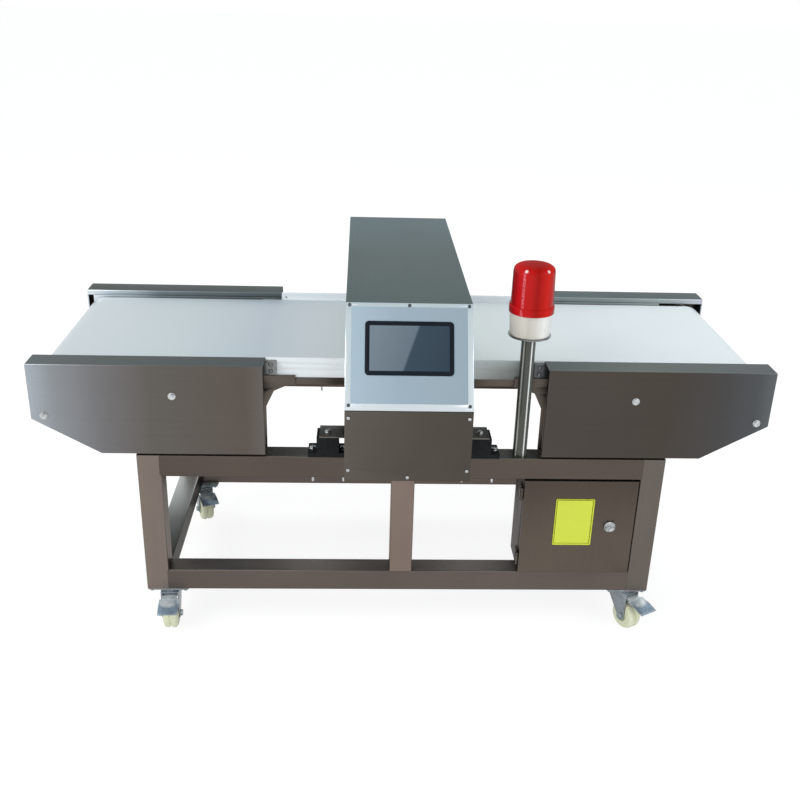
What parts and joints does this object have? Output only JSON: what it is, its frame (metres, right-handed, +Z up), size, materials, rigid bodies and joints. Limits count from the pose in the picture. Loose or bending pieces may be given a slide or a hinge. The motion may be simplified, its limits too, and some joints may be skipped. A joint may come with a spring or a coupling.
{
  "type": "food metal detector",
  "caption": "Belt conveyor metal detector on a square-tube caster frame, with a tunnel search head, leaning touchscreen panel, red beacon on a post and a control cabinet.",
  "frame": {"origin": "on the floor, under the middle of the machine's bounding box", "axes": "+X along the belt to the operator's right, -Y towards the operator, +Z up"},
  "size_m": [1.544, 0.844, 0.863],
  "materials": {
    "stainless": "fine brushed stainless steel",
    "bed_steel": "plain stainless sheet",
    "polished_steel": "polished steel",
    "zinc": "bright zinc plate",
    "wheel_nylon": "moulded cream nylon",
    "roller_steel": "turned steel",
    "roller_rubber": "rubber coating",
    "belt": "smooth food belt",
    "white_plastic": "satin white plastic sheet",
    "bearing_iron": "cast housings",
    "clamp_steel": "machined blocks",
    "motor_paint": "grey machine paint",
    "pulley_aluminium": "turned aluminium",
    "drive_belt_rubber": "black drive belt",
    "mount_rubber": "moulded black rubber",
    "bolt_steel": "bright steel",
    "overlay_film": "grey-blue film",
    "screen_plastic": "dark moulded plastic",
    "screen_glass": "unlit screen",
    "coil_copper": "wound copper",
    "circuit_board": "green circuit board",
    "lamp_steel": "stainless disc",
    "lamp_plastic": "white moulded plastic",
    "lens_plastic": "clear red plastic",
    "reflector_mirror": "plated reflector",
    "electrics_grey": "grey instrument cases",
    "gland_plastic": "black moulded plastic"
  },
  "bodies": {
    "stand": {"frame_legs": "stainless", "frame_long_rails": "stainless", "frame_cross_rails": "stainless", "cover_front_left": "stainless", "cover_front_right": "stainless", "cover_rear_left": "stainless", "cover_rear_right": "stainless", "head_casing": "stainless", "head_front_cover": "stainless", "head_flanges": "stainless", "side_plates": "stainless", "cabinet_box": "stainless", "steel_beds": "bed_steel", "bed_angles": "bed_steel", "control_panel": "polished_steel", "beacon_post": "polished_steel", "caster_plates": "zinc", "conveyor_belt": "belt", "plastic_bed": "white_plastic", "side_boards": "white_plastic", "tunnel_liner": "white_plastic", "roller_bearings": "bearing_iron", "board_clamps": "clamp_steel", "gearmotor": "motor_paint", "drive_belt": "drive_belt_rubber", "rubber_mounts": "mount_rubber", "conveyor_bolts": "bolt_steel", "mount_bolts": "bolt_steel", "head_screws": "bolt_steel", "panel_overlay": "overlay_film", "touchscreen_case": "screen_plastic", "touchscreen_glass": "screen_glass", "search_coils": "coil_copper", "control_board": "circuit_board", "beacon_plate": "lamp_steel", "beacon_base": "lamp_plastic", "beacon_lens": "lens_plastic", "cabinet_electrics": "electrics_grey", "cable_gland": "gland_plastic"},
    "fork_fl": {"caster_fork_fl": "zinc"},
    "wheel_fl": {"caster_wheel_fl": "wheel_nylon"},
    "pedal_fl": {"brake_pedal_fl": "zinc"},
    "fork_fr": {"caster_fork_fr": "zinc"},
    "wheel_fr": {"caster_wheel_fr": "wheel_nylon"},
    "pedal_fr": {"brake_pedal_fr": "zinc"},
    "fork_rl": {"caster_fork_rl": "zinc"},
    "wheel_rl": {"caster_wheel_rl": "wheel_nylon"},
    "pedal_rl": {"brake_pedal_rl": "zinc"},
    "fork_rr": {"caster_fork_rr": "zinc"},
    "wheel_rr": {"caster_wheel_rr": "wheel_nylon"},
    "pedal_rr": {"brake_pedal_rr": "zinc"},
    "drive_roller": {"drive_roller": "roller_rubber", "roller_pulley": "pulley_aluminium"},
    "tail_roller": {"tail_roller": "roller_steel"},
    "return_roller_left": {"return_roller_left": "roller_steel"},
    "return_roller_right": {"return_roller_right": "roller_steel"},
    "motor_pulley": {"motor_pulley": "pulley_aluminium"},
    "reflector": {"beacon_reflector": "reflector_mirror"},
    "door": {"cabinet_door": "stainless"},
    "lock": {"door_lock": "polished_steel"}
  },
  "joints": [
    {"name": "caster_swivel_fl", "type": "hinge", "parent": "stand", "child": "fork_fl", "pos_m": [-0.519, -0.241, 0.09], "axis": [0, 0, 1], "continuous": true},
    {"name": "wheel_spin_fl", "type": "hinge", "parent": "fork_fl", "child": "wheel_fl", "pos_m": [-0.51785, -0.26297, 0.0325], "axis": [0.9986, 0.0523, 0], "continuous": true},
    {"name": "brake_pedal_lift_fl", "type": "hinge", "parent": "fork_fl", "child": "pedal_fl", "pos_m": [-0.51816, -0.25698, 0.0797], "axis": [-0.9986, -0.0523, 0], "range_deg": [0, 18]},
    {"name": "caster_swivel_fr", "type": "hinge", "parent": "stand", "child": "fork_fr", "pos_m": [0.519, -0.241, 0.09], "axis": [0, 0, 1], "continuous": true},
    {"name": "wheel_spin_fr", "type": "hinge", "parent": "fork_fr", "child": "wheel_fr", "pos_m": [0.53, -0.26005, 0.0325], "axis": [0.866, 0.5, 0], "continuous": true},
    {"name": "brake_pedal_lift_fr", "type": "hinge", "parent": "fork_fr", "child": "pedal_fr", "pos_m": [0.527, -0.25486, 0.0797], "axis": [-0.866, -0.5, 0], "range_deg": [0, 18]},
    {"name": "caster_swivel_rl", "type": "hinge", "parent": "stand", "child": "fork_rl", "pos_m": [-0.519, 0.241, 0.09], "axis": [0, 0, 1], "continuous": true},
    {"name": "wheel_spin_rl", "type": "hinge", "parent": "fork_rl", "child": "wheel_rl", "pos_m": [-0.51076, 0.2206, 0.0325], "axis": [0.9272, 0.3746, 0], "continuous": true},
    {"name": "brake_pedal_lift_rl", "type": "hinge", "parent": "fork_rl", "child": "pedal_rl", "pos_m": [-0.51301, 0.22617, 0.0797], "axis": [-0.9272, -0.3746, 0], "range_deg": [0, 18]},
    {"name": "caster_swivel_rr", "type": "hinge", "parent": "stand", "child": "fork_rr", "pos_m": [0.519, 0.241, 0.09], "axis": [0, 0, 1], "continuous": true},
    {"name": "wheel_spin_rr", "type": "hinge", "parent": "fork_rr", "child": "wheel_rr", "pos_m": [0.53, 0.22195, 0.0325], "axis": [0.866, 0.5, 0], "continuous": true},
    {"name": "brake_pedal_lift_rr", "type": "hinge", "parent": "fork_rr", "child": "pedal_rr", "pos_m": [0.527, 0.22714, 0.0797], "axis": [-0.866, -0.5, 0], "range_deg": [0, 18]},
    {"name": "drive_roller_spin", "type": "hinge", "parent": "stand", "child": "drive_roller", "pos_m": [0.726, 0, 0.5907], "axis": [0, 1, 0], "continuous": true},
    {"name": "tail_roller_spin", "type": "hinge", "parent": "stand", "child": "tail_roller", "pos_m": [-0.726, 0, 0.5907], "axis": [0, 1, 0], "continuous": true},
    {"name": "return_roller_left_spin", "type": "hinge", "parent": "stand", "child": "return_roller_left", "pos_m": [-0.33, 0, 0.5667], "axis": [0, 1, 0], "continuous": true},
    {"name": "return_roller_right_spin", "type": "hinge", "parent": "stand", "child": "return_roller_right", "pos_m": [0.33, 0, 0.5667], "axis": [0, 1, 0], "continuous": true},
    {"name": "motor_pulley_spin", "type": "hinge", "parent": "stand", "child": "motor_pulley", "pos_m": [0.547, 0, 0.501], "axis": [0, 1, 0], "continuous": true},
    {"name": "reflector_spin", "type": "hinge", "parent": "stand", "child": "reflector", "pos_m": [0.2505, -0.25, 0.768], "axis": [0, 0, 1], "continuous": true},
    {"name": "cabinet_door_hinge", "type": "hinge", "parent": "stand", "child": "door", "pos_m": [0.259, -0.273, 0.2715], "axis": [0, 0, -1], "range_deg": [0, 110]},
    {"name": "door_lock_turn", "type": "hinge", "parent": "door", "child": "lock", "pos_m": [0.459, -0.278, 0.27616], "axis": [0, -1, 0], "range_deg": [0, 90]}
  ],
  "couplings": [
    {"joint": "tail_roller_spin", "follows": "drive_roller_spin", "ratio": 1},
    {"joint": "return_roller_left_spin", "follows": "drive_roller_spin", "ratio": -2.3125},
    {"joint": "return_roller_right_spin", "follows": "drive_roller_spin", "ratio": -2.3125},
    {"joint": "motor_pulley_spin", "follows": "drive_roller_spin", "ratio": 1.3784}
  ]
}
